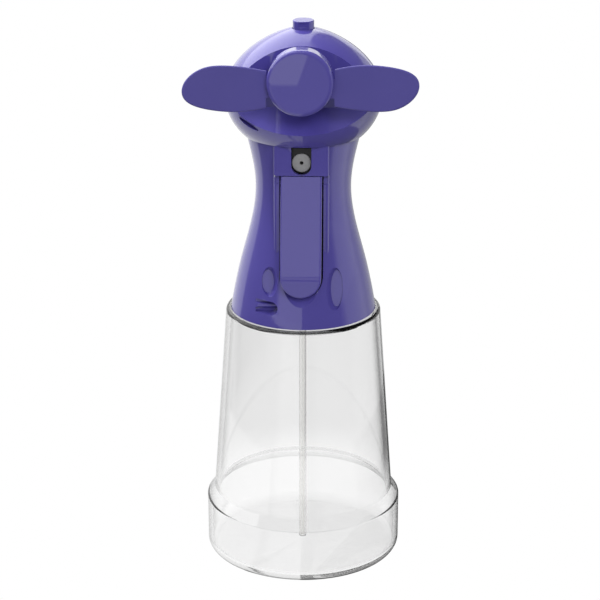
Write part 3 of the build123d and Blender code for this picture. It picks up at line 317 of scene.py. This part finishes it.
def floor_levels(n, place, parts, bearing, through):
    """Brightness of the floor where it is mirrored and where the bottle bends light from it."""
    reach = n.add("ShaderNodeVectorMath", {0: place}, operation="LENGTH").outputs["Value"]
    mirrored = blended(n, past(n, reach, *NEAR_ENDS), panels(n, bearing, MIRRORED_NEAR),
                       panels(n, bearing, MIRRORED_BELOW))
    mirrored = blended(n, past(n, reach, *FAR_STARTS), mirrored, panels(n, bearing, MIRRORED_FAR))
    mirrored = blended(n, past(n, reach, *SKYLINE), mirrored, panels(n, bearing, MIRRORED_ABOVE))
    # two bands ahead, either side of the strip that the nozzle's panel mirrors
    outer = combined(n, "MULTIPLY", past(n, reach, *AHEAD_OUTER_STARTS),
                     past(n, reach, *AHEAD_OUTER_ENDS))
    bands = combined(n, "ADD", past(n, reach, *AHEAD_INNER_ENDS), outer)
    ahead = combined(n, "MULTIPLY", bands, panels(n, bearing, MIRRORED_AHEAD, 0.0))
    mirrored = blended(n, ahead, mirrored, AHEAD_LEVEL)
    # the hub's face mirrors one corner of a card far in front
    card = combined(n, "MULTIPLY", past(n, parts.outputs["Y"], *CARD_FRONT),
                    past(n, parts.outputs["X"], *CARD_SIDE))
    mirrored = blended(n, card, mirrored, CARD_LEVEL)
    return mirrored, blended(n, past(n, reach, *FOOT_ENDS), FOOT_LEVEL, through)


def sky_levels(n, parts, bearing, through):
    """The same for the sky."""
    height = parts.outputs["Z"]
    mirrored = blended(n, past(n, height, *HIGH_STARTS), panels(n, bearing, MIRRORED_ABOVE),
                       panels(n, bearing, MIRRORED_HIGH))
    overhead = blended(n, past(n, parts.outputs["X"], *OVERHEAD_RIGHT), *OVERHEAD_LEVELS)
    mirrored = blended(n, past(n, height, *OVERHEAD_STARTS), mirrored, overhead)
    mirrored = blended(n, past(n, height, *ZENITH_STARTS), mirrored, ZENITH_LEVEL)
    return mirrored, blended(n, past(n, height, *BENT_UP_STARTS), through, BENT_UP_LEVEL)


def surround(n, place, lit, floor):
    """White to the camera, panels to mirrored and bent rays, and the lit shader to the rest."""
    parts = n.add("ShaderNodeSeparateXYZ", {"Vector": place})
    bearing = combined(n, "ARCTAN2", parts.outputs["X"], parts.outputs["Y"])
    through = panels(n, bearing, SEEN_THROUGH, BETWEEN_SEEN)
    if floor:
        mirrored, through = floor_levels(n, place, parts, bearing, through)
    else:
        mirrored, through = sky_levels(n, parts, bearing, through)
    rays = n.add("ShaderNodeLightPath")
    white = n.add("ShaderNodeEmission", {"Color": (1, 1, 1, 1), "Strength": 1.0})
    bent = n.add("ShaderNodeEmission", {"Color": through})
    gloss = n.add("ShaderNodeEmission", {"Color": mirrored})
    out = lit
    for rule, shader in (("Is Glossy Ray", gloss), ("Is Transmission Ray", bent),
                         ("Is Camera Ray", white)):
        mix = n.add("ShaderNodeMixShader", {"Fac": rays.outputs[rule]})
        n.join(out, mix.inputs[1])
        n.join(shader.outputs[0], mix.inputs[2])
        out = mix.outputs[0]
    return out


def make_floor():
    """A plain white floor. The camera sees it as pure white, so it shows no shadow."""
    mesh = bpy.data.meshes.new("floor")
    corners = [(-1, -1), (1, -1), (1, 1), (-1, 1)]
    mesh.from_pydata(
        [(x * FLOOR_REACH, y * FLOOR_REACH, 0) for x, y in corners], [], [(0, 1, 2, 3)]
    )
    floor = bpy.data.objects.new("floor", mesh)
    bpy.context.scene.collection.objects.link(floor)
    mat = bpy.data.materials.new("floor_paper")
    mat.use_nodes = True
    n = Nodes(mat.node_tree)
    paper = n.add("ShaderNodeBsdfDiffuse", {"Color": (FLOOR_TONE, FLOOR_TONE, FLOOR_TONE, 1)})
    place = n.add("ShaderNodeTexCoord").outputs["Object"]
    seen = surround(n, place, paper.outputs[0], True)
    out = n.add("ShaderNodeOutputMaterial")
    n.join(seen, out.inputs["Surface"])
    mesh.materials.append(mat)


def make_world():
    """A soft even light from all round, with the sky's panels in it."""
    world = bpy.data.worlds.new("studio")
    bpy.context.scene.world = world
    world.use_nodes = True
    n = Nodes(world.node_tree)
    dim = n.add("ShaderNodeBackground", {"Color": (1, 1, 1, 1), "Strength": WORLD_LEVEL})
    place = n.add("ShaderNodeTexCoord").outputs["Generated"]
    seen = surround(n, place, dim.outputs[0], False)
    out = n.add("ShaderNodeOutputWorld")
    n.join(seen, out.inputs["Surface"])


def softbox(name, place, aim, width, height, watts):
    """A lamp that lights the object but isn't mirrored in it."""
    lamp = bpy.data.lights.new(name, "AREA")
    lamp.shape = "RECTANGLE"
    lamp.size, lamp.size_y = width, height
    lamp.energy = watts
    thing = bpy.data.objects.new(name, lamp)
    thing.visible_glossy = thing.visible_transmission = False
    thing.location = place
    thing.rotation_euler = (Vector(aim) - Vector(place)).to_track_quat("-Z", "Y").to_euler()
    bpy.context.scene.collection.objects.link(thing)


make_floor()
make_world()
softbox("key", (-0.60, 0.34, 0.70), (0, 0, 0.22), 0.8, 0.7, 8.0)
softbox("top", (-0.10, 0.12, 1.10), (0, 0, 0.22), 0.55, 0.6, 3.0)
softbox("front", (0.35, -1.1, 0.9), (0, 0, 0.17), 0.5, 0.4, 6.5)

# ---------------------------------------------------------------- camera
TURN = math.radians(2.2)
PITCH = math.radians(20.1)
AWAY, UP, ASIDE = 0.9163, 0.4568, -0.0015
SENSOR = 36.0
FOCAL_TO_WIDTH = 2131.0 / 600.0
camera_data = bpy.data.cameras.new("camera")
camera_data.sensor_width = SENSOR
camera_data.lens = SENSOR * FOCAL_TO_WIDTH
camera_data.clip_start, camera_data.clip_end = 0.05, 30.0
camera = bpy.data.objects.new("camera", camera_data)
camera.location = (
    AWAY * math.sin(TURN) + ASIDE * math.cos(TURN),
    -AWAY * math.cos(TURN) + ASIDE * math.sin(TURN),
    UP,
)
camera.rotation_euler = Euler((math.pi / 2 - PITCH, 0, TURN))
bpy.context.scene.collection.objects.link(camera)
bpy.context.scene.camera = camera
bpy.context.scene.view_settings.view_transform = "Standard"
